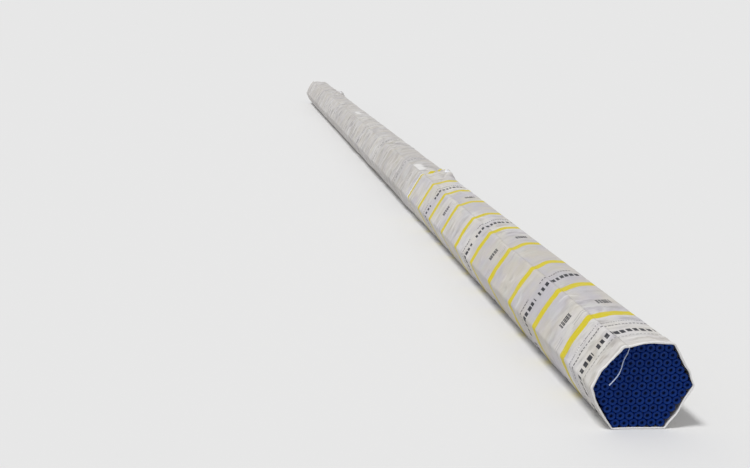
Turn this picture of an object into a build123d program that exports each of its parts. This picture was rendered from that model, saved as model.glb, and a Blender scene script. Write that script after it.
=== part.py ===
from build123d import *
import math
import os

# Wrapped bundle of capped steel pipes, stacked as a regular hexagon.
# Millimetres. The pipes run along Y and one flat side of the hexagon lies on the floor.
# The origin is on the floor, under the middle of the bundle. The front end is at -Y.
# Round pieces and rounded corners are drawn with few sides.

# Pipes
pipe_diameter = 25.4
pipe_wall = 2.11
pipe_length = 9000.0
pipe_sides = 12
pipes_per_side = 6
core_clearance = 0.3

# End caps, one on each end of every pipe
cap_wall = 0.8
cap_head = 12.0
cap_gap = 0.2
cap_sides = 10
dimple_diameter = 9.8
dimple_floor = 3.0
dimple_sides = 5

# Straps that hold the pipes together under the wrap
strap_width = 19.0
strap_thickness = 0.8
strap_clearance = 0.1
strap_corner_sides = 2
strap_places = (-0.45, -0.15, 0.15, 0.45)
seal_width = 10.0
seal_length = 28.0
seal_depth = 2.0

# Woven wrap of three sheets, drawn thicker than the cloth
# Each sheet's back end lies over the start of the next one.
wrap_thickness = 2.0
wrap_clearance = 0.4
wrap_corner_sides = 3
wrap_lip = 25.0
wrap_joints = (-0.20, 0.33)
wrap_overlap = 130.0
layer_gap = 0.1
hem_width = 10.0
hem_thickness = 1.0

# Ties round the overlaps, each with a knot on the upper right edge
tie_width = 14.0
tie_thickness = 0.6
tie_set_back = 40.0
knot_length = 48.0
knot_diameter = 28.0
knot_chamfer = 9.0
knot_sides = 8
knot_sink = 9.0
knot_shift = 1.0

# Loose sewing tape that hangs from the front hem, on the left
tape_diameter = 5.0
tape_sides = 6
tape_start_across = -56.0
tape_clearance = 1.0

# Sizes that follow from the ones above
pipe_radius = pipe_diameter / 2
cap_radius = pipe_radius + cap_wall
pitch = 2 * cap_radius + cap_gap
row_rise = pitch * math.sqrt(3) / 2
rings = pipes_per_side - 1
strap_inside = pipe_radius + strap_clearance
strap_outside = strap_inside + strap_thickness
wrap_inside = max(cap_radius, strap_outside) + wrap_clearance
wrap_outside = wrap_inside + wrap_thickness
lap_middle = wrap_inside + (wrap_thickness - tie_thickness) / 2
axis_height = rings * row_rise + wrap_outside
half_pipe = pipe_length / 2
half_bundle = half_pipe + cap_head
half_wrap = half_bundle + wrap_lip


def row_places(row):
    """Centres of one row's pipes, counted from the bottom row, as (across, height)."""
    level = row - rings
    count = 2 * rings + 1 - abs(level)
    height = axis_height + level * row_rise
    return [((k - (count - 1) / 2) * pitch, height) for k in range(count)]


def is_outer(row, k, count):
    """True for the pipes that the wrap lies on."""
    return row in (0, 2 * rings) or k in (0, count - 1)


def hexagon(corner_ring, margin, corner_sides):
    """Face across the bundle: the hexagon through a ring's corner pipes, grown by a margin."""
    points = []
    for corner in range(6):
        middle = math.radians(60 * corner)
        for step in range(corner_sides + 1):
            angle = middle + math.radians(60 * step / corner_sides - 30)
            across = corner_ring * pitch * math.cos(middle) + margin * math.cos(angle)
            up = corner_ring * pitch * math.sin(middle) + margin * math.sin(angle)
            points.append((across, up))
    outline = make_face(Polyline(points, close=True))
    return Plane((0, 0, axis_height), x_dir=(1, 0, 0), z_dir=(0, -1, 0)) * outline


def along(face, start, end):
    """Prism of a face from one place along the bundle to another."""
    return Pos(0, end, 0) * extrude(face, end - start, dir=(0, -1, 0))


def sleeve(inner, outer, corner_sides, start, end):
    """Tube that follows the hexagon of the outer pipes."""
    outside = along(hexagon(rings, outer, corner_sides), start, end)
    return outside - along(hexagon(rings, inner, corner_sides), start - 1, end + 1)


def pipe():
    bore = RegularPolygon(pipe_radius - pipe_wall, pipe_sides)
    wall = RegularPolygon(pipe_radius, pipe_sides) - bore
    face = Plane((0, 0, 0), x_dir=(1, 0, 0), z_dir=(0, -1, 0)) * wall
    return along(face, -half_pipe, half_pipe)


def cap():
    """Head of one cap on the front end, with the dimple in its middle."""
    seat = Plane((0, -half_pipe, 0), x_dir=(1, 0, 0), z_dir=(0, -1, 0))
    head = extrude(seat * RegularPolygon(cap_radius, cap_sides), cap_head)
    mouth = Plane((0, -half_bundle, 0), x_dir=(1, 0, 0), z_dir=(0, 1, 0))
    tip = Vertex(0, -half_pipe - dimple_floor, 0)
    dimple = loft([mouth * RegularPolygon(dimple_diameter / 2, dimple_sides), tip])
    return head - dimple


def strap(place):
    """One strap with its crimped seal in the valley between two pipes of the top row."""
    middle = place * pipe_length
    start = middle - strap_width / 2
    end = middle + strap_width / 2
    band = sleeve(strap_inside, strap_outside, strap_corner_sides, start, end)
    top = axis_height + rings * row_rise + strap_inside
    seal = Pos((rings % 2 - 1) * pitch / 2, middle, top) * Box(
        seal_width, seal_length, seal_depth, align=(Align.CENTER, Align.CENTER, Align.MAX)
    )
    return band + seal


def layer(inner, outer, start, end):
    """Tube of cloth, or the space for one, between two distances from the outer pipes' centres."""
    return sleeve(inner, outer, wrap_corner_sides, start, end)


def tie_band(sheet_end):
    """Ring of the tie, which lies in the outer face of the sheet whose end it holds."""
    end = sheet_end - tie_set_back
    return layer(wrap_outside - tie_thickness, wrap_outside, end - tie_width, end)


def sheet(start, end, is_first, is_last):
    """One sheet of the wrap, half as thick where it laps the next one, with a hem at the bundle's end."""
    body = layer(wrap_inside, wrap_outside, start, end)
    if is_first:
        body += layer(wrap_inside - hem_thickness, wrap_inside, start, start + hem_width)
    else:
        body -= layer(lap_middle, wrap_outside + 1, start - 1, start + wrap_overlap + layer_gap)
    if is_last:
        body += layer(wrap_inside - hem_thickness, wrap_inside, end - hem_width, end)
    else:
        body -= layer(wrap_inside - 1, lap_middle + layer_gap, end - wrap_overlap - layer_gap, end + 1)
        body -= tie_band(end)
    return body


def tie(sheet_end):
    """One tie: its ring and the knot, which leans back from it on the upper right edge of the bundle."""
    start = sheet_end - tie_set_back - tie_width + knot_shift
    end = start + knot_length
    reach = rings * pitch + wrap_outside + knot_diameter / 2 - knot_sink
    across = reach * math.cos(math.radians(60))
    up = axis_height + reach * math.sin(math.radians(60))
    face = Plane((across, end, up), x_dir=(1, 0, 0), z_dir=(0, -1, 0))
    knot = extrude(face * RegularPolygon(knot_diameter / 2, knot_sides), knot_length)
    ends = knot.faces().filter_by(Axis.Y)
    knot = chamfer(ends.edges(), knot_chamfer)
    under = along(hexagon(rings, wrap_outside, wrap_corner_sides), start - 1, end + 1)
    return tie_band(sheet_end) + (knot - under)


def tape():
    """Route of the loose tape, from the inner face of the wrap downwards."""
    top = axis_height + rings * row_rise + wrap_inside
    behind_hem = -half_wrap + hem_width + tape_clearance + tape_diameter / 2
    steps = [(0, 0), (0, -18), (-13, -42), (-17, -72), (-27, -98), (-48, -122)]
    points = [Vector(tape_start_across + x, behind_hem, top + z) for x, z in steps]
    radii = []
    for before, point, after in zip(points, points[1:], points[2:]):
        run_in = point - before
        run_out = after - point
        turn = math.radians(run_in.get_angle(run_out))
        radii.append(0.45 * min(run_in.length, run_out.length) / math.tan(turn / 2))
    print("tape radii", [round(radius, 1) for radius in radii])
    path = FilletPolyline(*points, radius=radii)
    end = Plane(path @ 0, z_dir=path % 0) * RegularPolygon(tape_diameter / 2, tape_sides)
    solid = sweep(end, path)
    print("tape volume ratio", solid.volume / (end.area * path.length))
    return solid


def save(name, solids):
    export_step(Compound(children=solids), f"parts/{name}.step")


os.makedirs("parts", exist_ok=True)

one_pipe = pipe()
one_cap = cap()
outer_pipes = []
for row in range(2 * rings + 1):
    places = row_places(row)
    caps = []
    for k, (x, z) in enumerate(places):
        caps.append(Pos(x, 0, z) * one_cap)
        caps.append(Pos(x, 0, z) * Rot(Z=180) * one_cap)
        if is_outer(row, k, len(places)):
            outer_pipes.append(Pos(x, 0, z) * one_pipe)
    save(f"end_caps_row_{row + 1:02d}", caps)

save("outer_pipes", outer_pipes)
core_margin = row_rise - pipe_radius - core_clearance
core_face = hexagon(rings - 1, core_margin, strap_corner_sides)
save("inner_pipes_core", [along(core_face, -half_pipe, half_pipe)])
for number, place in enumerate(strap_places):
    save(f"strap_{number + 1}", [strap(place)])

sheet_ends = [place * pipe_length for place in wrap_joints] + [half_wrap]
sheet_starts = [-half_wrap] + [end - wrap_overlap for end in sheet_ends[:-1]]
last = len(sheet_ends) - 1
sheets = []
for number, (start, end) in enumerate(zip(sheet_starts, sheet_ends)):
    sheets.append(sheet(start, end, number == 0, number == last))
    if number < last:
        save(f"tie_{number + 1}", [tie(end)])
save("woven_wrap", sheets)
save("loose_tape", [tape()])
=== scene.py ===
import math

import bpy
import numpy as np
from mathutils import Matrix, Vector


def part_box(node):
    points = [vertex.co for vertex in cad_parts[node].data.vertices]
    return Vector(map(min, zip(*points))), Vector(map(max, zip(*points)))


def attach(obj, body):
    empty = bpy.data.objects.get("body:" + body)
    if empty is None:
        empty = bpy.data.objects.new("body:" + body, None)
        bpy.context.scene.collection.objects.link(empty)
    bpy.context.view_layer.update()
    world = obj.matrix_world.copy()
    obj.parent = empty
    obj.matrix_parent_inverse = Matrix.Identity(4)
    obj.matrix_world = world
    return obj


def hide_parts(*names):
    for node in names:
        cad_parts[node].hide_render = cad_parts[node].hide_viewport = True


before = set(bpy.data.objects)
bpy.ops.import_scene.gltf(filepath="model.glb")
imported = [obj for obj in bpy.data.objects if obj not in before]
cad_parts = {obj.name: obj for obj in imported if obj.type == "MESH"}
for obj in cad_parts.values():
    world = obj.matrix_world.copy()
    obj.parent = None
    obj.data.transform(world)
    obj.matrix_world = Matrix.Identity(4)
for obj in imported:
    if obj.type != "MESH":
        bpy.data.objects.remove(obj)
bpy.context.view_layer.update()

# A bundle of capped steel pipes in a striped woven wrap, in metres.
# The pipes run along Y, and the capped front end is at -Y.

scene = bpy.context.scene
scene.view_settings.view_transform = "Standard"


def placeObject(name, data):
    placed = bpy.data.objects.new(name, data)
    scene.collection.objects.link(placed)
    return placed


# Camera

cameraSettings = {
    "place": (-1.21, -6.89, 1.21),
    "turnRight": 2.5,  # degrees away from the way the pipes run
    "tiltDown": 14.3,
    "lens": 43.2,
    "shift": 0.15,
}


def makeCamera(settings):
    data = bpy.data.cameras.new("camera")
    data.lens = settings["lens"]
    data.shift_x = settings["shift"]
    camera = placeObject("camera", data)
    camera.location = settings["place"]
    camera.rotation_euler = (math.radians(90 - settings["tiltDown"]), 0, math.radians(-settings["turnRight"]))
    scene.camera = camera


makeCamera(cameraSettings)
print("camera placed")


# Places that the frame gives

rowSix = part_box("end_caps_row_06")
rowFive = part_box("end_caps_row_05")
pipesPerSide = 6
rings = pipesPerSide - 1
pitch = (rowSix[1].x - rowSix[0].x) - (rowFive[1].x - rowFive[0].x)
rowRise = pitch * math.sqrt(3) / 2
axisHeight = (rowSix[0].z + rowSix[1].z) / 2
cornerReach = rings * pitch
capRadius = (rowSix[1].x - rowSix[0].x) / 2 - cornerReach
capFront = rowSix[0].y
capBack = rowSix[1].y
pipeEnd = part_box("outer_pipes")[1].y
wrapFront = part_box("woven_wrap")[0].y
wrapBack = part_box("woven_wrap")[1].y
tieWidth = 0.014
tieSetBack = 0.040
tieNodes = ["tie_1", "tie_2"]
tiePlaces = [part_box(name)[0].y + tieWidth / 2 for name in tieNodes]
strapNodes = [f"strap_{number}" for number in range(1, 5)]
strapPlaces = [(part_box(name)[0].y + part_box(name)[1].y) / 2 for name in strapNodes]


def pipePlaces():
    places = []
    for row in range(2 * rings + 1):
        level = row - rings
        count = 2 * rings + 1 - abs(level)
        for k in range(count):
            places.append(((k - (count - 1) / 2) * pitch, axisHeight + level * rowRise))
    return places


# Shader maths

class Value:
    # a number or colour on its way from one node to the next
    def __init__(self, finish, socket):
        self.finish = finish
        self.socket = socket

    def maths(self, operation, *values):
        return self.finish.node("ShaderNodeMath", {"operation": operation}, list(values))

    def __add__(self, other):
        return self.maths("ADD", self, other)

    def __sub__(self, other):
        return self.maths("SUBTRACT", self, other)

    def __mul__(self, other):
        return self.maths("MULTIPLY", self, other)

    def __truediv__(self, other):
        return self.maths("DIVIDE", self, other)

    def __rsub__(self, other):
        return self.maths("SUBTRACT", other, self)

    def __gt__(self, other):
        return self.maths("GREATER_THAN", self, other)

    def __lt__(self, other):
        return self.maths("LESS_THAN", self, other)

    def __abs__(self):
        return self.maths("ABSOLUTE", self)

    def floor(self):
        return self.maths("FLOOR", self)

    def sine(self):
        return self.maths("SINE", self)

    __radd__ = __add__
    __rmul__ = __mul__


def total(values):
    return sum(values[1:], values[0])


class Finish:
    # the nodes of one material, or of the world
    def __init__(self, owner):
        owner.use_nodes = True
        self.owner = owner
        self.nodes = owner.node_tree.nodes
        self.links = owner.node_tree.links

    def find(self, kind):
        return next(n for n in self.nodes if n.type == kind)

    def feed(self, socket, value):
        if isinstance(value, Value):
            self.links.new(value.socket, socket)
        else:
            socket.default_value = value

    def node(self, kind, settings={}, inputs={}, output=0):
        made = self.nodes.new(kind)
        for name, value in settings.items():
            setattr(made, name, value)
        sockets = [s for s in made.inputs if s.enabled]
        named = inputs.items() if isinstance(inputs, dict) else enumerate(inputs)
        for key, value in named:
            socket = sockets[key] if isinstance(key, int) else next(s for s in sockets if s.name == key)
            self.feed(socket, value)
        results = [s for s in made.outputs if s.enabled]
        if isinstance(output, str):
            return Value(self, next(s for s in results if s.name == output))
        return Value(self, results[output])

    def give(self, name, value):
        if isinstance(value, tuple) and len(value) == 3:
            value = (*value, 1)
        self.feed(self.find("BSDF_PRINCIPLED").inputs[name], value)

    def coat(self, colour, roughness, grain, height, distance, strength, under=None):
        # roughness comes as the least of it and what the grain adds
        self.give("Base Color", colour)
        self.give("Roughness", roughness[0] + roughness[1] * grain)
        self.give("Normal", self.bump(height, distance, strength, under))

    def place(self):
        return self.node("ShaderNodeTexCoord", output=3)

    def attribute(self, name):
        return self.node("ShaderNodeAttribute", {"attribute_name": name}, output=2)

    def join(self, x, y, z):
        return self.node("ShaderNodeCombineXYZ", {}, [x, y, z])

    def noise(self, vector, scale, detail=2.0, roughness=0.5):
        inputs = {"Vector": vector, "Scale": scale, "Detail": detail, "Roughness": roughness}
        return self.node("ShaderNodeTexNoise", {}, inputs)

    def chance(self, number):
        return self.node("ShaderNodeTexWhiteNoise", {"noise_dimensions": "1D"}, {"W": number})

    def between(self, value, low, high):
        # 0 below low, 1 above high, with a soft step from one to the other
        settings = {"interpolation_type": "SMOOTHSTEP"}
        inputs = {"Value": value, "From Min": low, "From Max": high}
        return self.node("ShaderNodeMapRange", settings, inputs)

    def blend(self, share, first, second, way="MIX"):
        pair = [(*c, 1) if isinstance(c, tuple) else c for c in (first, second)]
        settings = {"data_type": "RGBA", "blend_type": way}
        return self.node("ShaderNodeMix", settings, {"Factor": share, "A": pair[0], "B": pair[1]})

    def seen(self):
        # 1 where the camera sees it straight, or through gloss or glass
        rays = ("Camera", "Glossy", "Transmission")
        return total([self.node("ShaderNodeLightPath", output=f"Is {kind} Ray") for kind in rays]) > 0.5

    def bump(self, height, distance, strength=1.0, under=None):
        inputs = {"Height": height, "Distance": distance, "Strength": strength}
        if under:
            inputs["Normal"] = under
        return self.node("ShaderNodeBump", {}, inputs)


def newFinish(name):
    return Finish(bpy.data.materials.new(name))


# Mesh helpers

def addPiece(name, verts, faces, finish, values={}):
    mesh = bpy.data.meshes.new(name)
    mesh.from_pydata(verts.tolist(), [], faces.tolist() if isinstance(faces, np.ndarray) else faces)
    for label, numbers in values.items():
        attribute = mesh.attributes.new(label, "FLOAT", "POINT")
        attribute.data.foreach_set("value", np.asarray(numbers, np.float32).ravel())
    mesh.materials.append(finish.owner)
    mesh.shade_smooth()
    return addObject(name, mesh)


def addObject(name, data):
    piece = placeObject(name, data)
    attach(piece, "root")
    return piece


def gridFaces(rows, columns, closedRows=False, closedColumns=False):
    # four-sided faces over a grid of points, joined round where it closes
    rowStarts = np.arange(rows - (not closedRows))
    columnStarts = np.arange(columns - (not closedColumns))
    i, j = np.meshgrid(rowStarts, columnStarts, indexing="ij")
    up, right = (i + 1) % rows, (j + 1) % columns
    corners = [i * columns + j, i * columns + right, up * columns + right, up * columns + j]
    return np.stack(corners, -1).reshape(-1, 4)


def joinMeshes(parts):
    # one list of points and one of faces out of several
    verts, faces, start = [], [], 0
    for points, loops in parts:
        verts.append(points)
        faces.extend((np.asarray(loop) + start).tolist() for loop in loops)
        start += len(points)
    return np.concatenate(verts), faces


# Wrap: the line round the bundle, and how far the cloth stands off it

wrapSettings = {
    "lift": 0.0149,  # from the outer pipes' centre line to the cloth
    "least": 0.0139,  # closest that the cloth comes, just clear of the caps
    "floorGap": 0.0002,
    "bottomSlack": 0.0030,  # the cloth's layers spread over this much at the floor
    "lapWidth": 0.062,
    "lapPlace": 0.004,  # the lap's edge, from the left end of the top side
    "lapWave": (0.004, 0.04, 0.01),  # how far it wanders, and the distances from the edge where it sets in
    "turnedEdge": 0.008,
    "turnGap": 0.0011,  # how much each turn of cloth stands off the one below
    "overlap": 0.130,
    "overlapRun": 0.06,
    "overGap": 0.0016,
    "underGap": 0.0007,
    "flare": (0.0022, 0.0040, 0.040),  # mean, unevenness and length, at a sheet's free end
    "clothFold": 0.0009,
    "flatCells": (21, 21, 13, 10, 13, 20),  # from the top side on, clockwise
    "arcCells": 5,
    "columnGap": 0.002,
    "edgeCrowding": 0.6,  # how much closer the columns are at the hexagon's edges
    "endStep": (0.0035, 0.12),
    "tieStep": (0.0045, 0.22),
    # heights, each with the share that is left at the hexagon's edges
    "swell": (0.0016, 0.35),
    "wrinkle": (0.0024, 0.5),
    "slackFold": (0.0052, 0.45),  # the big loose folds of the farther sheets
    "farRun": 0.25,  # the cloth gets baggier over this length past the first tie
    "farRidge": 0.7,
    "fineRidge": (0.8, 0.4),  # fine wrinkles at the front, and how many fewer there are farther on
    "patches": (0.35, 1.3, 0.05, 1.5),  # wrinkled patches: mean, contrast, least, most
    "crumpledLength": 0.30,
    "wander": 0.050,  # how far folds wander along the bundle
    "ripple": (0.0005, 0.3),  # height, and the share of it that is everywhere
    "pipeRidge": 0.00025,
    "belly": (0.0034, 0.4),  # how far the flats stand out in the middle, and how unevenly
    # heights or shares, each with its reach along the bundle
    "tieHold": (0.9, 0.020),
    "strapRise": (0.0007, 0.013),
    "strapSlope": (0.0006, 0.012),
    "hemWave": (0.0011, 0.05),
    "endLift": (0.0008, 0.030),
    "edgeUneven": (0.0026, 0.05),
    "foldShadeFade": (0.6, 0.12),  # how much of the painted fold shade and ridge highlight the ties take away
    "strapSlopePlace": 0.03,
    "hemBulgeReach": 0.09,
    "hemUneven": 0.0022,
    "hemBackLeast": 0.0004,
    "hemBackReach": 0.07,
    "hemThickness": (0.45, 0.25),  # how much it varies, coarse and fine
    "hemFold": 0.010,
    "hemDepth": 0.0055,
    # twelve places round the bundle, from the upper left edge on, clockwise from the front
    "bellyShare": (0.35, 1.0, 0.30, 0.5, 0.2, 0.4, 0.1, 0.0, 0.1, 0.6, 0.3, 0.9),
    "hemBack": (0.001, 0.011, 0.016, 0.018, 0.018, 0.019, 0.019, 0.018, 0.018, 0.018, 0.017, 0.010),
    "hemBulge": (0.0005, 0.0040, 0.0014, 0.0012, 0.0004, 0.0006, 0.0002, 0.0, 0.0004, 0.0015, 0.0009, 0.0020),
    "printBow": (0.0, 0.8, 1.0, 1.0, 0.9, 0.7, 0.5, 0.3, 0.15, 0.0, -0.08, -0.10),
    "bowReach": (0.020, 0.078),  # at the front hem, and from the second stripe on
    "bowRun": (0.15, 0.75),
    "bowCentre": 0.7,
    "printWaver": 0.0040,
    "printRun": 0.1,
    # steps along the bundle to the cloth that a fold is measured against, and the depth of a full fold
    # both set the painted shade in folds and the painted highlight on ridges
    "nearFold": ((-0.022, -0.011, 0.011, 0.022), 0.0022),
    "wideFold": ((-0.090, -0.055, 0.055, 0.090), 0.0036),
    "hemBright": (0.9, 0.006, 0.010),  # share, and the distances from the edge in which it fades
    "patchBright": (0.75, 0.006, 0.004),  # share, and its blur along and round the bundle
}

# random fields over the cloth, as (cells round the bundle, length of a cell, part of the random grid)
clothFields = {
    "swell": (6, 0.31, 1),
    "smallSwell": (11, 0.12, 2),
    "patches": (7, 0.36, 3),
    "ridges": (13, 0.080, 4),
    "fineRidges": (17, 0.056, 5),
    "ripple": (15, 0.027, 6),
    "tieWander": (9, 0.11, 7),
    "tiePuff": (13, 0.5, 8),
    "belly": (6, 0.5, 12),
    "flare": (8, 0.3, 14),
    "hemLine": (10, 0.2, 15),
    "fineHemLine": (23, 0.2, 16),
    "endLift": (9, 0.4, 17),
    "lapWave": (1, 0.21, 19),
    "printWaver": (7, 0.35, 20),
    "wander": (7, 0.27, 21),
    "frill": (9, 0.1, 23),
    "hemWave": (26, 0.06, 24),
    "hemThickness": (19, 0.2, 25),
    "fineHemThickness": (41, 0.2, 26),
    "slackFolds": (7, 0.17, 27),
}

arcLength = wrapSettings["lift"] * math.pi / 3
sideLength = cornerReach + arcLength
girth = 6 * sideLength
knotAround = cornerReach + arcLength / 2  # the upper right edge
randomGrid = np.random.default_rng(11).uniform(-1, 1, (64, 2048))


def outlinePoint(around, margin):
    # the rounded hexagon, clockwise seen from the front, from the left end of the top side
    side, rest = np.divmod(np.mod(around, girth), sideLength)
    share = np.clip(rest / cornerReach, 0, 1)
    turn = np.clip(rest - cornerReach, 0, arcLength) / arcLength * (math.pi / 3)
    start = np.radians(120 - 60 * side)
    end = np.radians(60 - 60 * side)
    angle = np.radians(90 - 60 * side) - turn
    x = cornerReach * ((1 - share) * np.cos(start) + share * np.cos(end)) + margin * np.cos(angle)
    z = cornerReach * ((1 - share) * np.sin(start) + share * np.sin(end)) + margin * np.sin(angle)
    return x, z + axisHeight


def field(name, around, y, shift=0):
    # smooth random field over the cloth, from -1 to 1, that meets itself round the bundle
    cellsAround, cellLength, part = clothFields[name]
    a = np.mod(around, girth) / girth * cellsAround
    b = (y - wrapFront + 1) / cellLength
    wholeA, wholeB = np.floor(a).astype(int), np.floor(b).astype(int)
    partA, partB = a - wholeA, b - wholeB
    partA = partA * partA * (3 - 2 * partA)
    partB = partB * partB * (3 - 2 * partB)

    def at(i, j):
        return randomGrid[(i % cellsAround + (part + shift) * 13) % 64, (j + (part + shift) * 137) % 2048]

    front = at(wholeA, wholeB) * (1 - partA) + at(wholeA + 1, wholeB) * partA
    back = at(wholeA, wholeB + 1) * (1 - partA) + at(wholeA + 1, wholeB + 1) * partA
    return front * (1 - partB) + back * partB


def loopCurve(around, values):
    # a smooth closed curve through values at even places round the bundle
    place = np.mod(around, girth) / girth * len(values)
    whole = np.floor(place).astype(int)
    t = place - whole
    table = np.asarray(values)
    before, here, after, beyond = (table[(whole + k) % len(values)] for k in (-1, 0, 1, 2))
    bend = 2 * before - 5 * here + 4 * after - beyond
    twist = 3 * (here - after) + beyond - before
    return here + 0.5 * t * (after - before + t * (bend + t * twist))


def bell(distance, width):
    return np.exp(-((distance / width) ** 2))


def crest(noise, power, roundness=0.2):
    # ridges where a random field crosses zero, rounded at the top
    return (1 + roundness - np.hypot(noise, roundness)) ** power


def softStep(value, low, high):
    share = np.clip((value - low) / (high - low), 0, 1)
    return share * share * (3 - 2 * share)


def fromKnot(around):
    # distance round the bundle from the edge that the knots sit on, to both sides
    return np.mod(around - knotAround + girth / 2, girth) - girth / 2


tieSettings = {
    "folds": 5,  # on each side of the knot
    "foldHeight": 0.0110,
    "foldReach": (0.025, 0.17),  # where they start and end, from the knot
    "foldTurn": (0.8, 0.5),  # how much they wander, and differ from one side to the other
    "foldShape": (1.15, 0.62),
    "grip": 0.006,
    "knotRise": (0.0055, 0.032),
    "heap": (0.0120, 0.052, 0.034, 0.036),  # cloth in front of the knot: height, place, width, length
    "pinch": (0.0006, 0.7),  # depth, and its width as a share of the tape's
    "puff": (0.0032, 0.045, 0.026, 0.6, 0.5),  # height, place, length, least share, unevenness
    "pleat": (0.0012, 0.023, 4, 0.055),  # height, pitch, wander, length
    "ruffle": (0.0160, 0.050, 0.002, 0.006),  # cloth behind the knot: height, width, foot, top
    "frill": (0.017, 5, 0.85, 0.22),  # pitch, wander, mean, depth
}


def tieFolds(around, y, tiePlace, shift, tie=tieSettings):
    # the cloth gathered by a tie: folds that fan out from the knot, and short pleats round the ring
    across = fromKnot(around)
    ahead = y - tiePlace
    reach = np.hypot(across, ahead) + 1e-6
    wander = field("tieWander", around, y, shift)
    wanderShare, sideShare = tie["foldTurn"]
    phase = tie["folds"] * np.arctan2(ahead, np.abs(across))
    phase += wanderShare * wander + sideShare * np.sign(across)
    gain, floor = tie["foldShape"]
    start, end = tie["foldReach"]
    fan = tie["foldHeight"] * (gain * np.hypot(np.sin(phase), 0.2) - floor)
    fan *= bell(reach, end) * (1 - bell(reach, start)) * (1 - bell(ahead, tie["grip"]))
    height, place, length, least, uneven = tie["puff"]
    puff = height * bell(np.abs(ahead) - place, length)
    puff *= least + uneven * field("tiePuff", around, y, shift)
    pinch, pinchWidth = tie["pinch"]
    ring = bell(ahead, tieWidth * pinchWidth)
    height, apart, wanderShare, length = tie["pleat"]
    pleats = height * np.cos(2 * math.pi * around / apart + wanderShare * wander)
    pleats *= bell(ahead, length) * (1 - ring)
    height, place, width, length = tie["heap"]
    heap = height * bell(across, width) * bell(ahead + place, length)
    rise, riseReach = tie["knotRise"]
    return fan + puff + pleats + heap + rise * bell(reach, riseReach) - pinch * ring


def clothLift(around, y, wrap=wrapSettings):
    # the shape that all layers of cloth share, as a distance off the tight line
    rest = np.mod(np.mod(around, girth), sideLength)
    share = np.clip(rest / cornerReach, 0, 1)
    middle = np.sin(math.pi * share)
    rounded = 1 - np.abs(2 * share - 1) ** 3

    def spread(height, atEdge):
        return height * (atEdge + (1 - atEdge) * middle)

    hold, reach = wrap["tieHold"]
    slack = 1 - hold * sum(bell(y - place, reach) for place in tiePlaces)
    far = softStep(y, tiePlaces[0], tiePlaces[0] + wrap["farRun"])
    bent = y + wrap["wander"] * field("wander", around, y)
    mean, contrast, least, most = wrap["patches"]
    patches = np.clip(mean * (1 + far) + contrast * field("patches", around, y), least, most)
    patches = np.maximum(patches, bell(y - wrapFront, wrap["crumpledLength"]))

    swell = field("swell", around, y) + 0.5 * field("smallSwell", around, y)
    lift = spread(*wrap["swell"]) * swell * slack
    height, uneven = wrap["belly"]
    belly = loopCurve(around, wrap["bellyShare"]) * rounded
    lift += height * belly * (1 + uneven * field("belly", around, y)) * slack
    fine, fewer = wrap["fineRidge"]
    ridges = crest(field("ridges", around, bent), 4) * (1 + wrap["farRidge"] * far)
    ridges += crest(field("fineRidges", around + 0.3 * bent, bent), 5) * (fine - fewer * far)
    lift += spread(*wrap["wrinkle"]) * patches * ridges
    loose = crest(field("slackFolds", around + 0.2 * y, bent), 4)
    lift += spread(*wrap["slackFold"]) * loose * far * slack
    height, least = wrap["ripple"]
    lift += height * field("ripple", around, bent) * (least + patches)
    lift += wrap["pipeRidge"] * np.cos(2 * math.pi * share * rings) * middle
    lift += loopCurve(around, wrap["hemBulge"]) * bell(y - wrapFront, wrap["hemBulgeReach"])
    height, reach = wrap["hemWave"]
    lift += height * field("hemWave", around, y) * (bell(y - wrapFront, reach) + bell(y - wrapBack, reach))
    rise, riseReach = wrap["strapRise"]
    slope, slopeReach = wrap["strapSlope"]
    for place in strapPlaces:
        away = np.abs(y - place)
        lift += rise * bell(away, riseReach) + slope * bell(away - wrap["strapSlopePlace"], slopeReach)
    for k, place in enumerate(tiePlaces):
        lift += tieFolds(around, y, place, 2 * k)
    return lift



def clothMargin(around, y, layer):
    margin = wrapSettings["lift"] + clothLift(around, y)
    return np.maximum(margin, wrapSettings["least"]) + layer


def clothPoints(around, y, layer, rise=0):
    x, z = outlinePoint(around, clothMargin(around, y, layer) + rise)
    spare = 0.3 * np.maximum(wrapSettings["bottomSlack"] - layer, 0)
    return np.stack([x, y, np.maximum(z, wrapSettings["floorGap"] + spare - np.minimum(rise, 0))], -1)


# Wrap: its finish

clothSettings = {
    "stripePitch": 0.268,
    "stripeWidth": 0.034,
    "stripeBlur": 0.0015,
    "stripeColour": (0.65, 0.54, 0.014),
    "cream": (0.555, 0.52, 0.465),
    "lavender": (0.495, 0.475, 0.51),
    "white": (0.86, 0.85, 0.84),
    "mauve": (0.545, 0.50, 0.525),
    "mint": (0.54, 0.555, 0.52),
    "shade": (0.20, 0.19, 0.185),
    "ink": (0.022, 0.023, 0.030),
    "paleInk": (0.17, 0.17, 0.19),
    "stripes": 1.0,  # how strongly the stripes and the print show
    "print": 1.0,
    "wear": 0.16,
    "wearRange": (0.25, 0.55),
    "markPlace": 0.126,  # from the edge of the cloth
    "markPitch": 0.250,
    "markWidth": 0.052,
    "patchRange": (0.38, 0.62),
    "rumple": 0.15,  # the least that the cloth is rumpled anywhere
    "rumpleRange": (0.42, 0.66),
    "rumpledFront": (0.15, 0.55),  # the length at the front in which it is rumpled all over
    "edgeRange": (0.02, 0.12),
    "edgeCream": 0.8,
    "creaseWidth": 0.035,
    "creaseShade": 0.14,
    # tints, as (where one starts, where it is full, its share)
    "mauveTint": (0.50, 0.68, 0.35),
    "mintTint": (0.52, 0.70, 0.40),
    # the streak tints paint shade along the cloth's wrinkles
    "streakShadeTint": (0.48, 0.80, 0.44),
    "fineStreakShadeTint": (0.48, 0.80, 0.10),
    "streakHighlightTint": (0.52, 0.80, 0.60),
    "facetHighlightTint": (0.55, 1.1, 0.40),
    "foldShadeTint": (0.12, 1.0, 0.48),
    "ridgeHighlightTint": (0.15, 1.2, 0.55),
    "relief": 0.0050,
    "reliefShares": (0.9, 0.5, 0.2, 0.2),  # facets, streaks, creases and fine streaks
    "weave": 0.0026,
    "weaveRelief": 0.00010,
    "roughness": (0.46, 0.12),
    "shine": 0.22,
}

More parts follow.
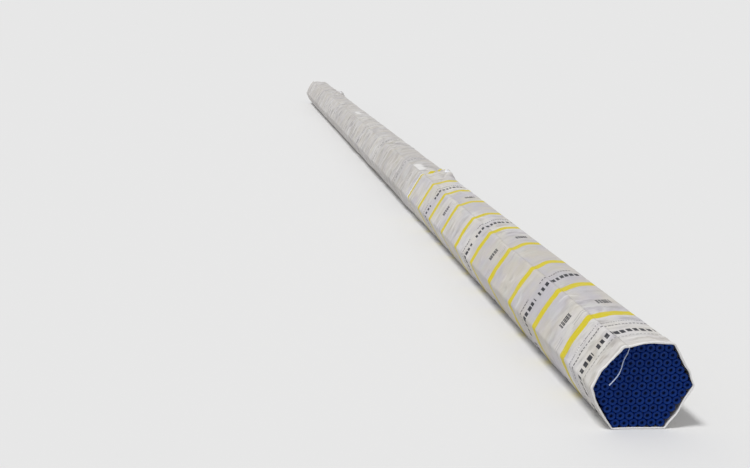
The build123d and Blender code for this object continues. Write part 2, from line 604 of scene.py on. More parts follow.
# the farther sheets lie inside out, so their print only shows through
reverseSettings = {
    **clothSettings,
    "cream": (0.475, 0.445, 0.41),
    "lavender": (0.445, 0.425, 0.425),
    "stripes": 0.05,
    "print": 0.34,
    "rumple": 0.50,
    "streakShadeTint": (0.48, 0.80, 0.60),
    "foldShadeTint": (0.12, 1.0, 0.75),
    "ridgeHighlightTint": (0.15, 1.2, 0.50),
    "relief": 0.0075,
}

# grains of the cloth, as (x from round and along the bundle, y from round and along it, z, detail, roughness)
clothGrains = {
    "patches": ((6.0, 0), (0, 6.0), 0.0, 3.0, 0.5),
    "streaks": ((6.0, 0), (5.0, 34.0), 0.0, 3.0, 0.6),
    "fineStreaks": ((9.0, 0), (0, 110.0), 5.0, 3.0, 0.6),
    "crossing": ((9.0, 6.0), (0, 26.0), 9.0, 2.0, 0.5),
    "rumpled": ((3.0, 0), (0, 2.2), 7.0, 2.0, 0.5),
    "bent": ((7.0, 0), (0, 9.0), 3.0, 1.0, 0.5),
    "mottle": ((14.0, 0), (0, 18.0), 11.0, 3.0, 0.5),
    "rubbed": ((32.0, 0), (0, 120.0), 4.0, 3.0, 0.5),
}

# Rows of print in one band between two stripes, as (their places in it, width, darkness, dashes).
# Dashes go by cells round the bundle, as (a cell, shortest and longest share of it, seed, shift).
frontPrint = [
    ([0.122], 0.024, 1.0, [(0.0215, 0.50, 0.85, 3.0), (0.172, 0.84, 0.88, 2.0, 0.046)]),
    ([0.181], 0.006, 0.8, [(0.012, 0.55, 0.80, 9.0)]),
    ([0.083], 0.005, 0.56, [(0.012, 0.55, 0.80, 9.0)]),
    ([0.206], 0.004, 0.64, [(0.0085, 0.45, 0.90, 10.0)]),
]
blockPrint = [
    ([0.098], 0.025, 1.0, [(0.0215, 0.50, 0.85, 5.0), (0.172, 0.76, 0.90, 6.0, 0.046)]),
    ([0.146], 0.007, 0.8, [(0.012, 0.50, 0.80, 8.0), (0.172, 0.35, 0.75, 7.0, 0.070)]),
]
markPrint = [([0.094, 0.104, 0.114], 0.008, 1.0, [(0.0115, 0.72, 0.98, 12.0)])]
linePrint = [([0.046, 0.059], 0.003, 0.5, [(0.130, 0.3, 0.75, 14.0)])]


def makeClothFinish(name, settings):
    cloth = newFinish(name)
    along = cloth.attribute("clothAlong")
    around = cloth.attribute("clothAround")

    def grain(name):
        *axes, z, detail, roughness = clothGrains[name]
        x, y = (total([value * part for value, part in zip((around, along), axis) if part]) for axis in axes)
        return cloth.noise(cloth.join(x, y, z), 1.0, detail, roughness)

    def tint(value, name):
        low, high, share = settings[name]
        return cloth.between(value, low, high) * share

    streaks, fineStreaks, bent, mottle = map(grain, ("streaks", "fineStreaks", "bent", "mottle"))
    rumpled = cloth.between(grain("rumpled"), *settings["rumpleRange"])
    rumpled = rumpled * (1 - settings["rumple"]) + settings["rumple"]
    rumpled = rumpled + (1 - rumpled) * (1 - cloth.between(along, *settings["rumpledFront"]))
    crease = (1 - cloth.between(abs(grain("crossing") - 0.5), 0.0, settings["creaseWidth"])) * rumpled
    facets = cloth.node("ShaderNodeTexVoronoi", {"feature": "F1"}, {
        "Vector": cloth.join(around * 9.0 + bent * 2.0, along * 21.0 + bent * 3.0, 0.0),
        "Scale": 1.0, "Detail": 2.0, "Roughness": 0.55,
    })

    stripePitch = settings["stripePitch"]
    band = (along / stripePitch).floor()
    inBand = along - band * stripePitch
    kind = band - (band / 3.0).floor() * 3.0  # the print changes from band to band, in threes

    def isKind(number):
        return abs(kind - number) < 0.5

    def dashes(cell, shortest, longest, seed, shift=0.0):
        # dashes round the bundle, one in each cell, as long as luck has it
        cells = (around - shift) / cell
        whole = cells.floor()
        luck = cloth.chance(whole + band * 37.0 + seed)
        return (cells - whole) < luck * (longest - shortest) + shortest

    def printed(rows):
        covers = []
        for places, width, darkness, cells in rows:
            cover = total([abs(inBand - place) < width / 2 for place in places]) * darkness
            for cell in cells:
                cover = cover * dashes(*cell)
            covers.append(cover)
        return total(covers)

    toStripe = stripePitch / 2 - abs(inBand - stripePitch / 2)
    half, blur = settings["stripeWidth"] / 2, settings["stripeBlur"]
    stripe = (1 - cloth.between(toStripe, half - blur, half + blur)) * (along > stripePitch / 2)
    worn = cloth.between(grain("rubbed"), *settings["wearRange"]) * settings["wear"] + (1 - settings["wear"])
    markCell = (around - settings["markPlace"]) / settings["markPitch"]
    inMark = (markCell - markCell.floor()) < settings["markWidth"] / settings["markPitch"]
    blocks = printed(frontPrint) * (along < stripePitch) * settings["stripes"]
    blocks = blocks + printed(blockPrint) * isKind(2.0) * settings["print"]

    layers = [
        ((1 - cloth.between(along, *settings["edgeRange"])) * settings["edgeCream"], "cream"),
        (tint(mottle, "mauveTint"), "mauve"),
        (tint(1 - mottle, "mintTint"), "mint"),
        # painted shade along the wrinkle streaks and the fine streaks
        (tint(streaks, "streakShadeTint") * rumpled, "shade"),
        (tint(fineStreaks, "fineStreakShadeTint"), "shade"),
        # painted highlights between the wrinkle streaks and on the crinkle facets
        (tint(1 - streaks, "streakHighlightTint") * rumpled, "white"),
        (tint(facets, "facetHighlightTint") * rumpled, "white"),
        (crease * settings["creaseShade"], "shade"),
        # painted shade in the folds and painted highlight on the ridges
        (tint(cloth.attribute("clothFold"), "foldShadeTint"), "shade"),
        (tint(cloth.attribute("clothFold") * -1.0, "ridgeHighlightTint"), "white"),
        (stripe * worn * settings["stripes"], "stripeColour"),
        (blocks * worn, "ink"),
        (printed(markPrint) * inMark * isKind(1.0) * worn * settings["print"], "ink"),
        (printed(linePrint) * isKind(1.0) * worn * settings["print"], "paleInk"),
        (cloth.attribute("clothBright"), "white"),
    ]
    patches = cloth.between(grain("patches"), *settings["patchRange"])
    colour = cloth.blend(patches, settings["lavender"], settings["cream"])
    for share, colourName in layers:
        colour = cloth.blend(share, colour, settings[colourName])

    facetShare, streakShare, creaseShare, fineShare = settings["reliefShares"]
    height = facets * facetShare + streaks * streakShare - crease * creaseShare
    relief = cloth.bump(height * rumpled + fineStreaks * fineShare, settings["relief"], 0.75)
    turn = 2 * math.pi / settings["weave"]
    weave = (around * turn).sine() * (along * turn).sine()
    cloth.coat(colour, settings["roughness"], streaks, weave, settings["weaveRelief"], 0.5, relief)
    cloth.give("Specular IOR Level", settings["shine"])
    return cloth


printedCloth = makeClothFinish("printedCloth", clothSettings)
reverseCloth = makeClothFinish("reverseCloth", reverseSettings)


# Wrap: the three sheets

# steps between rows, and bright patches as (place along, place round, length, width)
farSettings = {"step": 0.0088, "nearStep": 0.0070, "nearLength": 0.1, "wideShare": 0.30, "brightPatches": ()}
brightPatches = ((-1.62, 0.030, 0.19, 0.050), (1.10, 0.060, 0.16, 0.040))
sheetSettings = {
    "wrapSheetFront": {
        "step": 0.0050, "nearStep": 0.0035, "nearLength": 1.1, "wideShare": 0.12, "brightPatches": (),
        "phase": -0.002, "skew": 0.0,
    },
    "wrapSheetMiddle": {**farSettings, "phase": 0.085, "skew": -0.010, "brightPatches": brightPatches},
    "wrapSheetBack": {**farSettings, "phase": 0.190, "skew": 0.008},
}

# the rolled hem at the bundle's ends and the folded ones at the laps, as (back from the edge, off the cloth)
rolledHem = [
    (0.0060, -0.0012), (0.0058, -0.0026), (0.0042, -0.0037), (0.0020, -0.0038), (0.0005, -0.0026),
    (0.0, -0.0009), (0.0007, 0.0007), (0.0022, 0.0013), (0.0042, 0.0009),
]
foldedHem = [(0.010, -0.0009), (0.005, -0.0009), (0.0008, -0.0008), (0.0, -0.0004)]

sheetEnds = [place + tieWidth / 2 + tieSetBack for place in tiePlaces] + [wrapBack]
sheetStarts = [wrapFront] + [end - wrapSettings["overlap"] for end in sheetEnds[:-1]]


def sheetRows(start, end, settings):
    # places along one sheet, closer together where it is seen from near by and at its ends and ties
    wrap = wrapSettings
    endStep, endLength = wrap["endStep"]
    tieStep, tieLength = wrap["tieStep"]
    rows = [start]
    while rows[-1] < end:
        here = rows[-1]
        step = settings["step"]
        if here - start < settings["nearLength"]:
            step = settings["nearStep"]
        if min(here - start, end - here) < endLength:
            step = min(step, endStep)
        if min(abs(here - place) for place in tiePlaces) < tieLength:
            step = min(step, tieStep)
        rows.append(here + step)
    rows[-1] = end
    rows = np.array(rows)
    if start == wrapFront:
        rows = rows[rows > start + wrap["hemDepth"]]
    if end == wrapBack:
        rows = rows[rows < end - wrap["hemDepth"]]
    return rows


def sheetColumns():
    # places round the bundle from one edge of the lap to the other, closer at the hexagon's edges
    wrap = wrapSettings
    arc = np.linspace(0, 1, wrap["arcCells"] + 1)[1:-1]
    sides = []
    for k in range(-1, 7):
        flat = np.linspace(0, 1, wrap["flatCells"][k % 6] + 1)
        flat = flat - wrap["edgeCrowding"] * np.sin(2 * math.pi * flat) / (2 * math.pi)
        sides.append(k * sideLength + np.concatenate([flat * cornerReach, cornerReach + arc * arcLength]))
    every = np.concatenate(sides)
    start = wrap["lapPlace"] - wrap["lapWidth"]
    end = start + girth + wrap["lapWidth"]
    inside = every[(every > start + wrap["columnGap"]) & (every < end - wrap["columnGap"])]
    return np.concatenate([[start], inside, [end]])


def tieRuffle(around, y, end, tie=tieSettings):
    # the end of a sheet that stands up behind the knot
    apart, wander, mean, depth = tie["frill"]
    frill = mean + depth * np.cos(2 * math.pi * around / apart + wander * field("frill", around, y))
    height, width, foot, top = tie["ruffle"]
    return height * bell(fromKnot(around), width) * softStep(y, end - tieSetBack + foot, end - top) * frill


def sheetLayer(around, y, start, end, lapStart, wrap=wrapSettings):
    # how far one sheet stands off the shape that all layers share
    layer = wrap["turnGap"] * (around - lapStart) / girth
    if end != wrapBack:
        overlapStart = end - wrap["overlap"]
        layer += wrap["overGap"] * softStep(y, overlapStart - wrap["overlapRun"], overlapStart)
        mean, uneven, length = wrap["flare"]
        layer += np.maximum(softStep(y, end - length, end) * (mean + uneven * field("flare", around, y)), 0)
        layer += tieRuffle(around, y, end)
    if start != wrapFront:
        overlapEnd = start + wrap["overlap"]
        layer -= wrap["underGap"] * (1 - softStep(y, overlapEnd, overlapEnd + wrap["overlapRun"]))
    height, reach = wrap["endLift"]
    for place in (start, end):
        if place in (wrapFront, wrapBack):
            layer += height * bell(y - place, reach) * field("endLift", around, y)
    return layer


def edgeShift(around, y, start, end, wrap=wrapSettings):
    # how far a sheet's ends run back from a straight line, which is more at the bundle's ends
    noise = field("hemLine", around, 0 * y) + 0.5 * field("fineHemLine", around, 0 * y)
    hemBack = np.maximum(loopCurve(around, wrap["hemBack"]) + wrap["hemUneven"] * noise, wrap["hemBackLeast"])
    uneven, reach = wrap["edgeUneven"]
    shift = np.zeros_like(y)
    for place, inward in ((start, 1), (end, -1)):
        if place in (wrapFront, wrapBack):
            shift += inward * hemBack * bell(y - place, wrap["hemBackReach"])
        else:
            shift += inward * uneven * noise * bell(y - place, reach)
    return shift


def foldDepth(around, y, wideShare, wrap=wrapSettings):
    # above 0 in a fold and below 0 on a ridge, next to the cloth's mean height near by and farther off
    # only the painted shade in folds and the painted highlight on ridges use this
    margin = clothMargin(around, y, 0)

    def depth(steps, full):
        level = sum(clothMargin(around, y + step, 0) for step in steps) / len(steps)
        return np.clip((level - margin) / full, -1, 1)

    share, reach = wrap["foldShadeFade"]
    faded = 1 - share * sum(bell(y - place, reach) for place in tiePlaces)
    return (depth(*wrap["nearFold"]) + wideShare * depth(*wrap["wideFold"])) * faded


def printPlace(around, y, start, phase, skew, wrap=wrapSettings):
    # distance along the sheet's print, whose stripes bow and waver round the bundle
    first, later = wrap["bowReach"]
    bow = first + (later - first) * softStep(y - start, *wrap["bowRun"])
    bow *= loopCurve(around, wrap["printBow"])
    waver = wrap["printWaver"] * field("printWaver", around, y)
    waver += skew * np.sin(2 * math.pi * around / girth)
    moved = (waver - bow + wrap["bowCentre"] * first) * softStep(y, start, start + wrap["printRun"])
    return y - start + phase + moved


def brightParts(around, y, start, end, patches, wrap=wrapSettings):
    # the white hems at the bundle's ends, and the sheet's bright patches
    bright = np.zeros_like(y)
    share, hemStart, hemEnd = wrap["hemBright"]
    for place in (start, end):
        if place in (wrapFront, wrapBack):
            bright += share * (1 - softStep(np.abs(y - place), hemStart, hemEnd))
    share, blurAlong, blurAround = wrap["patchBright"]
    for placeAlong, placeAround, length, width in patches:
        along = 1 - softStep(np.abs(y - placeAlong), length / 2 - blurAlong, length / 2)
        across = 1 - softStep(np.abs(around - placeAround), width / 2 - blurAround, width / 2)
        bright += share * along * across
    return bright


def makeSheet(name, start, end, settings, finish):
    wrap = wrapSettings
    startHem = rolledHem if start == wrapFront else foldedHem
    endHem = (rolledHem if end == wrapBack else foldedHem)[::-1]
    rows = sheetRows(start, end, settings)
    startBack, startRise = np.transpose(startHem)
    endBack, endRise = np.transpose(endHem)
    rowRise = np.concatenate([startRise, np.zeros(len(rows)), endRise])
    rows = np.concatenate([start + startBack, rows, end - endBack])
    columns = sheetColumns()
    lapStart, lapEnd = columns[0], columns[-1]
    turnedBack, turnedUnder = np.transpose([(0.0, 0.5), (0.003, 1.0), (wrap["turnedEdge"], 1.0)])
    columnRise = np.concatenate([np.zeros(len(columns)), -turnedUnder * wrap["clothFold"]])
    columns = np.concatenate([columns, lapEnd - turnedBack])
    y, around = np.meshgrid(rows, columns, indexing="ij")

    layer = sheetLayer(around, y, start, end, lapStart)
    coarse, fine = wrap["hemThickness"]
    thickness = 1 + coarse * field("hemThickness", around, 0 * y)
    thickness += fine * field("fineHemThickness", around, 0 * y)
    rise = rowRise[:, None] * thickness + columnRise[None, :]
    wave, waveStart, waveEnd = wrap["lapWave"]
    lapWave = softStep(around, columns[-1] - waveStart, columns[-1] - waveEnd)
    lapWave *= wave * field("lapWave", 0 * around, y)
    points = clothPoints(around + lapWave, y, layer, rise)
    points[..., 1] += edgeShift(around, y, start, end)
    values = {
        "clothAlong": printPlace(around, y, start, settings["phase"], settings["skew"]),
        "clothAround": around - lapStart,
        # clothFold carries the painted fold shade and ridge highlight
        "clothFold": foldDepth(around, y, settings["wideShare"]),
        "clothBright": brightParts(around, y, start, end, settings["brightPatches"]),
    }
    piece = addPiece(name, points.reshape(-1, 3), gridFaces(*y.shape), finish, values)
    flat = (lapEnd - lapStart + wrap["turnedEdge"], end - start + 2 * wrap["hemFold"])
    print(name, "has", 2 * len(piece.data.polygons), "triangles")
    return piece


for (name, settings), start, end in zip(sheetSettings.items(), sheetStarts, sheetEnds):
    finish = printedCloth if start == wrapFront else reverseCloth
    makeSheet(name, start, end, settings, finish)
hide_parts("woven_wrap")
print("wrap made")


# End caps

# radii, as a pair, are where one colour starts to give way to the next and where it has gone
capSettings = {
    "segments": 36,
    "tilt": 0.6,  # degrees
    "stagger": 0.0009,
    "clearance": 0.0001,
    "shoulder": (0.0033, 0.0060),  # depths at which the rounded rim ends
    "stemRadius": 0.0103,
    "stemTaper": 0.0004,
    "stemLength": 0.012,
    "skirtInside": 0.01285,
    "skirtLength": 0.022,
    # hole: painted shade inside the cap's hollow
    "hole": (0.0003, 0.0080, 0.066),
    "deep": (0.0004, 0.0090, 0.078),
    "blue": (0.0026, 0.024, 0.155),
    "paleHighlightAndWear": (0.011, 0.052, 0.26),
    # side: painted bounce light on the caps' sides, in the shaded gaps between them
    "side": (0.0030, 0.034, 0.28),
    "toneSpread": (0.0, 0.7),
    "toneRange": (0.0, 1.6),
    "blotchTone": 0.6,
    "scuffRange": (0.52, 0.72),
    "holeShadeEdge": (0.0041, 0.0049),
    "holeShadeShare": 0.95,
    "crownStart": (0.0050, 0.0075),
    "crownEnd": (0.0095, 0.0125),
    "crownShares": (0.30, 0.25),  # the plain painted highlight, and the wear that scuffs add
    "sideLightEdge": (0.0120, 0.0131),
    "roughness": (0.42, 0.18),
    "shine": 0.10,
    "relief": 0.0003,
}

# the cap's face, as (radius, depth behind the front)
capHole = [(0.0, 0.0085), (0.0028, 0.0083), (0.0039, 0.0074), (0.0042, 0.0052), (0.0044, 0.0036)]
capCrown = [
    (0.0050, 0.0026), (0.0062, 0.0020), (0.0078, 0.0014), (0.0090, 0.0006), (0.0098, 0.0001),
    (0.0105, 0.0), (0.0114, 0.0003), (0.0123, 0.0009), (0.0129, 0.0019),
]


def capProfile(settings):
    # radius and depth behind the front, from the middle of the hole out and back to the stem
    clearance, inside, stem = settings["clearance"], settings["skirtInside"], settings["stemRadius"]
    shoulderStart, shoulderEnd = settings["shoulder"]
    rim = capRadius - clearance
    head = abs(capFront) - pipeEnd
    skirtEnd = head + settings["skirtLength"]
    stemEnd = head + settings["stemLength"]
    side = [(rim - clearance, shoulderStart), (rim, shoulderEnd), (rim, skirtEnd), (inside, skirtEnd)]
    side += [(inside, head - clearance), (stem, head - clearance)]
    return np.array(capHole + capCrown + side + [(stem - settings["stemTaper"], stemEnd), (0.0, stemEnd)])


def makeCap(settings):
    profile = capProfile(settings)
    count = settings["segments"]
    loops = profile[1:-1]
    angle = np.arange(count) / count * 2 * math.pi
    verts = [[0, profile[0][1], 0]]
    for radius, depth in loops:
        verts += [[radius * math.cos(a), depth, radius * math.sin(a)] for a in angle]
    verts.append([0, profile[-1][1], 0])
    faces = (gridFaces(len(loops), count, closedColumns=True) + 1)[:, ::-1].tolist()
    last = len(verts) - 1
    tail = 1 + (len(loops) - 1) * count
    for k in range(count):
        after = (k + 1) % count
        faces.append([0, 1 + k, 1 + after])
        faces.append([last, tail + after, tail + k])
    return np.array(verts), faces


def makeCapFinish(settings):
    cap = newFinish("capPlastic")
    tone = cap.attribute("capTone")
    reach = cap.attribute("capReach")
    place = cap.place()
    blotch = cap.noise(place, 45.0, 3.0)
    scuff = cap.between(cap.noise(place, 260.0, 4.0, 0.65), *settings["scuffRange"])
    darkness = cap.between(tone + (blotch - 0.5) * settings["blotchTone"], *settings["toneRange"])
    colour = cap.blend(darkness, settings["blue"], settings["deep"])
    # the crown is painted paler: a plain painted highlight ring, with scuffed wear on top
    plain, scuffed = settings["crownShares"]
    crown = cap.between(reach, *settings["crownStart"]) * (1 - cap.between(reach, *settings["crownEnd"]))
    colour = cap.blend(crown * (plain + scuffed * scuff), colour, settings["paleHighlightAndWear"])
    # the caps' outer edges are painted lighter and bluer, as painted bounce light in the gaps
    colour = cap.blend(cap.between(reach, *settings["sideLightEdge"]), colour, settings["side"])
    # the hollow is painted darker, as painted shade in the recess
    inHole = 1 - cap.between(reach, *settings["holeShadeEdge"])
    colour = cap.blend(inHole * settings["holeShadeShare"], colour, settings["hole"])
    cap.coat(colour, settings["roughness"], scuff, blotch + scuff * 0.3, settings["relief"], 0.6)
    cap.give("Specular IOR Level", settings["shine"])
    return cap


def makeCaps(name, front, facing, seed, settings, finish):
    random = np.random.default_rng(seed)
    template, loops = makeCap(settings)
    parts, tones, reaches = [], [], []
    for x, z in pipePlaces():
        tiltX, tiltZ = np.radians(random.uniform(-1, 1, 2) * settings["tilt"])
        back = random.uniform(0, settings["stagger"])
        points = template.copy()
        points[:, 1] += back + points[:, 0] * math.tan(tiltZ) + points[:, 2] * math.tan(tiltX)
        reaches.append(np.hypot(points[:, 0], points[:, 2]))
        tones.append(np.full(len(points), random.uniform(*settings["toneSpread"])))
        points[:, 0] = facing * points[:, 0] + x
        points[:, 1] = front + facing * points[:, 1]
        points[:, 2] += z
        parts.append((points, loops))
    verts, faces = joinMeshes(parts)
    values = {"capTone": np.concatenate(tones), "capReach": np.concatenate(reaches)}
    return addPiece(name, verts, faces, finish, values)


capFinish = makeCapFinish(capSettings)
frontCaps = makeCaps("frontCaps", capFront, 1, 21, capSettings, capFinish)
makeCaps("backCaps", capBack, -1, 22, capSettings, capFinish)
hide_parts(*[f"end_caps_row_{row:02d}" for row in range(1, 12)])
print("caps made")


# Pipes

pipeSettings = {
    "radius": 0.0127,
    "wall": 0.00211,
    "segments": 24,
    "colour": (0.56, 0.565, 0.57),
    "dull": (0.42, 0.42, 0.42),
    "grain": (400, 3, 400),
    "roughness": (0.28, 0.25),
    "relief": 0.0001,
}


def makePipeFinish(settings):
    steel = newFinish("pickledSteel")
    place = steel.place()
    stretched = steel.node("ShaderNodeMapping", {}, {"Vector": place, "Scale": settings["grain"]})
    brushed = steel.noise(stretched, 1.0, 4.0)
    clouds = steel.noise(place, 9.0, 3.0)
    colour = steel.blend(clouds, settings["colour"], settings["dull"])
    steel.coat(colour, settings["roughness"], brushed, brushed, settings["relief"], 0.4)
    steel.give("Metallic", 1.0)
    return steel


def makePipes(settings):
    count = settings["segments"]
    angle = np.arange(count) / count * 2 * math.pi
    outer, inner = settings["radius"], settings["radius"] - settings["wall"]
    section = [(outer, -pipeEnd), (outer, pipeEnd), (inner, pipeEnd), (inner, -pipeEnd)]
    tube = np.array([[r * math.cos(a), y, r * math.sin(a)] for r, y in section for a in angle])
    loops = gridFaces(len(section), count, closedRows=True, closedColumns=True)
    parts = [(tube + np.array([x, 0, z]), loops) for x, z in pipePlaces()]
    verts, faces = joinMeshes(parts)
    return addPiece("steelPipes", verts, faces, makePipeFinish(settings))


pipes = makePipes(pipeSettings)
bpy.context.view_layer.update()
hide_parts("outer_pipes", "inner_pipes_core")
print("pipes made")


# Straps under the wrap keep their own shape

strapSettings = {
    "colour": (0.50, 0.51, 0.50),
    "worn": (0.60, 0.61, 0.59),
    "emboss": 420.0,
    "relief": 0.0002,
    "roughness": (0.38, 0.2),
}


def makeStrapFinish(settings):
    strap = newFinish("embossedStrap")
    place = strap.place()
    cells = {"Vector": place, "Scale": settings["emboss"]}
    emboss = strap.node("ShaderNodeTexVoronoi", {"distance": "CHEBYCHEV"}, cells)
    clouds = strap.noise(place, 30.0, 3.0)
    colour = strap.blend(clouds, settings["colour"], settings["worn"])
    strap.coat(colour, settings["roughness"], clouds, emboss, settings["relief"], 0.5)
    return strap


strapFinish = makeStrapFinish(strapSettings)
for name in strapNodes:
    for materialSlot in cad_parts[name].material_slots:
        materialSlot.material = strapFinish.owner
print("straps finished")


# Ties and the loose tape

tapeSettings = {
    "colour": (0.88, 0.89, 0.92),
    "shade": (0.68, 0.69, 0.74),
    "thread": 0.0009,
    "cloudRange": (0.35, 0.75),
    "threadShade": 0.12,
    "roughness": (0.55, 0.15),
    "relief": 0.0002,
}


def makeTapeFinish(name, settings):
    tape = newFinish(name)
    place = tape.place()
    clouds = tape.noise(place, 55.0, 3.0)
    scale = 1 / (2 * math.pi * settings["thread"])
    wave = {"Vector": place, "Scale": scale, "Distortion": 1.5, "Detail": 1.0}
    threads = tape.node("ShaderNodeTexWave", {"bands_direction": "Y"}, wave, output=1)
    colour = tape.blend(tape.between(clouds, *settings["cloudRange"]), settings["colour"], settings["shade"])
    colour = tape.blend(threads * settings["threadShade"], colour, settings["shade"])
    tape.coat(colour, settings["roughness"], clouds, threads, settings["relief"], 0.5)
    return tape


tapeFinish = makeTapeFinish("whiteTape", tapeSettings)

bandSettings = {
    "thickness": 0.0009,
    "columns": 240,
    "offCloth": 0.0001,
    "lapSlope": (0.002, 0.022),  # where the tape climbs over the edge of the lap
    # the tape's section, as shares of its width and thickness
    "section": [(-0.5, 0.0), (-0.46, 1.0), (0.0, 1.15), (0.46, 1.0), (0.5, 0.0), (0.0, -0.05)],
}

knotSettings = {
    "halfLength": 0.0200,
    "halfWidth": 0.0125,
    "halfHeight": 0.0050,
    "thickness": 0.0088,
    "reach": 0.160,
    "steps": 72,
    "sides": 16,
    "fromEnd": 0.0245,  # the middle of the knot, from the end of its node
    "stretch": 1.1,
    "creases": ((0.10, 5, 3), (0.05, 9, -4)),  # depth, count round the strand, turns along it
}

# where a tail starts from the knot's middle, round the bundle and along it, and how it spreads and bends
tailSettings = {
    "tails": ((-1, 0.075), (1, 0.060)),  # which way one spreads, and its length
    "width": 0.011,
    "thickness": 0.0012,
    "steps": 13,
    "start": (0.006, 0.008),
    "spread": (0.030, 1.4),
    "bend": 0.25,
}


def ribbon(around, y, width, thickness, closed):
    # a flat tape that lies on the cloth along a line of places
    if closed:
        runAround, runAlong = np.ones(len(around)), np.zeros(len(around))
    else:
        runAround, runAlong = np.gradient(around), np.gradient(y)
        length = np.hypot(runAround, runAlong)
        runAround, runAlong = runAround / length, runAlong / length
    section = bandSettings["section"]
    rows = []
    for side, height in section:
        a = around - side * width * runAlong
        b = y + side * width * runAround
        turned = np.mod(a - wrapSettings["lapPlace"], girth)
        onLap = 1 - softStep(turned, *bandSettings["lapSlope"])
        under = wrapSettings["turnGap"] * (turned + wrapSettings["lapWidth"] + girth * onLap) / girth
        layer = under + wrapSettings["overGap"] + bandSettings["offCloth"]
        rows.append(clothPoints(a, b, layer + height * thickness))
    points = np.stack(rows, 1).reshape(-1, 3)
    loops = gridFaces(len(around), len(section), closedRows=closed, closedColumns=True).tolist()
    if not closed:
        loops.append(list(range(len(section)))[::-1])
        loops.append([(len(around) - 1) * len(section) + k for k in range(len(section))])
    return points, loops


def knotPoints(centreY, settings):
    # a trefoil of thick creased strand, which leans out over the upper right edge
    t = np.arange(settings["steps"]) / settings["steps"] * 2 * math.pi
    line = np.stack([
        (np.cos(t) - 2 * np.cos(2 * t)) / 3 * settings["halfWidth"],
        (np.sin(t) + 2 * np.sin(2 * t)) / 3 * settings["halfLength"] * settings["stretch"],
        -np.sin(3 * t) * settings["halfHeight"],
    ], -1)
    forward = np.roll(line, -1, 0) - np.roll(line, 1, 0)
    forward /= np.linalg.norm(forward, axis=1)[:, None]
    side = np.cross(forward, [0, 0, 1])
    side /= np.linalg.norm(side, axis=1)[:, None]
    up = np.cross(side, forward)
    turn = np.arange(settings["sides"]) / settings["sides"] * 2 * math.pi
    creases = 1
    for depth, count, twist in settings["creases"]:
        creases = creases + depth * np.cos(count * turn[None, :] + twist * t[:, None])
    ring = np.cos(turn)[None, :, None] * side[:, None] + np.sin(turn)[None, :, None] * up[:, None]
    ring = settings["thickness"] * creases[..., None] * ring
    local = (line[:, None] + ring).reshape(-1, 3)
    cosine, sine = math.cos(math.radians(60)), math.sin(math.radians(60))
    out, across = np.array([cosine, 0, sine]), np.array([sine, 0, -cosine])
    centre = settings["reach"] * out + np.array([0, centreY, axisHeight])
    points = centre + local[:, :1] * across + local[:, 1:2] * np.array([0, 1, 0]) + local[:, 2:] * out
    loops = gridFaces(settings["steps"], settings["sides"], closedRows=True, closedColumns=True)
    return points, loops.tolist()


def knotTail(knotMiddle, way, length, settings):
    # one loose end of a tie, which bends away from the knot
    share = np.linspace(0, 1, settings["steps"])
    startAround, startAlong = settings["start"]
    spread, power = settings["spread"]
    around = knotAround + way * (startAround + spread * share ** power)
    along = knotMiddle + startAlong + length * share * (1 - settings["bend"] * (1 - share))
    return ribbon(around, along, settings["width"], settings["thickness"], False)


def makeTie(name, node, place):
    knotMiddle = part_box(node)[1].y - knotSettings["fromEnd"]
    around = np.linspace(0, girth, bandSettings["columns"] + 1)[:-1]
    parts = [ribbon(around, np.full(len(around), place), tieWidth, bandSettings["thickness"], True)]
    parts += [knotTail(knotMiddle, way, length, tailSettings) for way, length in tailSettings["tails"]]
    parts.append(knotPoints(knotMiddle, knotSettings))
    verts, faces = joinMeshes(parts)
    piece = addPiece(name, verts, faces, tapeFinish)
    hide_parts(node)


for name, node, place in zip(("tieFront", "tieBack"), tieNodes, tiePlaces):
    makeTie(name, node, place)
print("ties made")

looseTapeSettings = {
    **tapeSettings,
    # the loose tape is painted bluer, as painted bounce light from the blue caps
    "colour": (0.60, 0.68, 0.86),
    "shade": (0.46, 0.54, 0.72),
    "width": 0.005,
    "thickness": 0.0010,
    "start": (-0.056, -4.5235, 0.265559),
    "steps": ((0, 0), (0, -0.018), (-0.013, -0.042), (-0.017, -0.072), (-0.027, -0.098), (-0.048, -0.122)),
}


def makeLooseTape(settings):
    startX, startY, startZ = settings["start"]
    data = bpy.data.curves.new("looseTape", "CURVE")
    data.dimensions = "3D"
    line = data.splines.new("NURBS")
    line.points.add(len(settings["steps"]) - 1)
    for point, (x, z) in zip(line.points, settings["steps"]):
        point.co = (startX + x, startY, startZ + z, 1)
    line.order_u = 3
    line.use_endpoint_u = True
    data.resolution_u = 12
    data.bevel_depth = settings["thickness"] / 2
    data.bevel_resolution = 2
    data.extrude = (settings["width"] - settings["thickness"]) / 2
    data.use_fill_caps = True
    data.materials.append(makeTapeFinish("sewingTape", settings).owner)
    piece = addObject("looseTape", data)
    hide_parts("loose_tape")


makeLooseTape(looseTapeSettings)
print("loose tape made")


# Floor, lights and backdrop

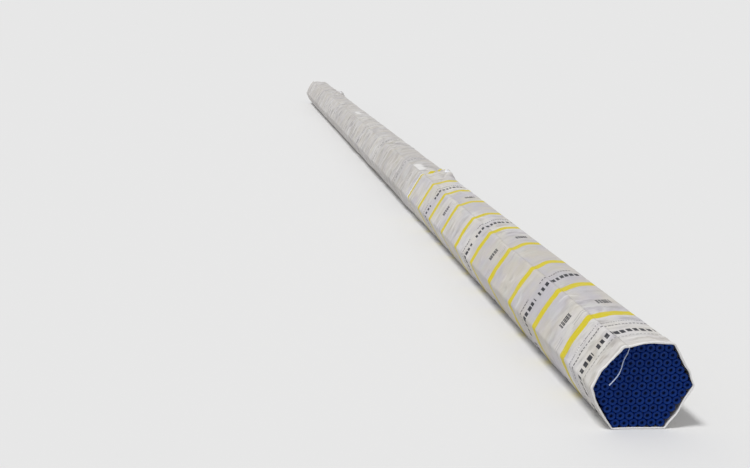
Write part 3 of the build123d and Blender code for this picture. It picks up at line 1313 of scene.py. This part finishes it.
stageSettings = {
    "floorReach": 400,
    "floorColour": (0.80, 0.80, 0.80),
    "backdrop": (0.80, 0.80, 0.80),
    "fadeStart": 9.0,
    "fadeEnd": 16.0,
    "sky": 0.46,
    "sun": 1.85,
    "sunSpread": 12,
    "sunTurn": (8, -22, 0),
}


def makeFloor(settings):
    size = settings["floorReach"]
    corners = [(-size, -size, 0), (size, -size, 0), (size, size, 0), (-size, size, 0)]
    mesh = bpy.data.meshes.new("floor")
    mesh.from_pydata(corners, [], [(0, 1, 2, 3)])
    floor = placeObject("floor", mesh)
    finish = newFinish("paleFloor")
    position = finish.node("ShaderNodeNewGeometry")
    reach = finish.node("ShaderNodeVectorMath", {"operation": "LENGTH"}, [position])
    away = finish.between(reach, settings["fadeStart"], settings["fadeEnd"])
    finish.give("Base Color", settings["floorColour"])
    finish.give("Roughness", 0.9)
    finish.give("Specular IOR Level", 0.0)
    plain = Value(finish, finish.find("BSDF_PRINCIPLED").outputs[0])
    glow = finish.node("ShaderNodeEmission", {}, {"Color": (*settings["backdrop"], 1), "Strength": 1.0})
    mixed = finish.node("ShaderNodeMixShader", {}, [away * finish.seen(), plain, glow])
    finish.feed(finish.find("OUTPUT_MATERIAL").inputs["Surface"], mixed)
    mesh.materials.append(finish.owner)


def makeWorld(settings):
    world = bpy.data.worlds.new("studio")
    scene.world = world
    studio = Finish(world)
    studio.nodes.remove(studio.find("BACKGROUND"))
    sky = studio.node("ShaderNodeBackground", {}, {"Color": (1, 1, 1, 1), "Strength": settings["sky"]})
    backdrop = studio.node("ShaderNodeBackground", {}, {"Color": (*settings["backdrop"], 1), "Strength": 1.0})
    mixed = studio.node("ShaderNodeMixShader", {}, [studio.seen(), sky, backdrop])
    studio.feed(studio.find("OUTPUT_WORLD").inputs["Surface"], mixed)


def makeSun(settings):
    data = bpy.data.lights.new("softSun", "SUN")
    data.energy = settings["sun"]
    data.angle = math.radians(settings["sunSpread"])
    sun = placeObject("softSun", data)
    sun.rotation_euler = [math.radians(turn) for turn in settings["sunTurn"]]


makeFloor(stageSettings)
makeWorld(stageSettings)
makeSun(stageSettings)
print("stage made")
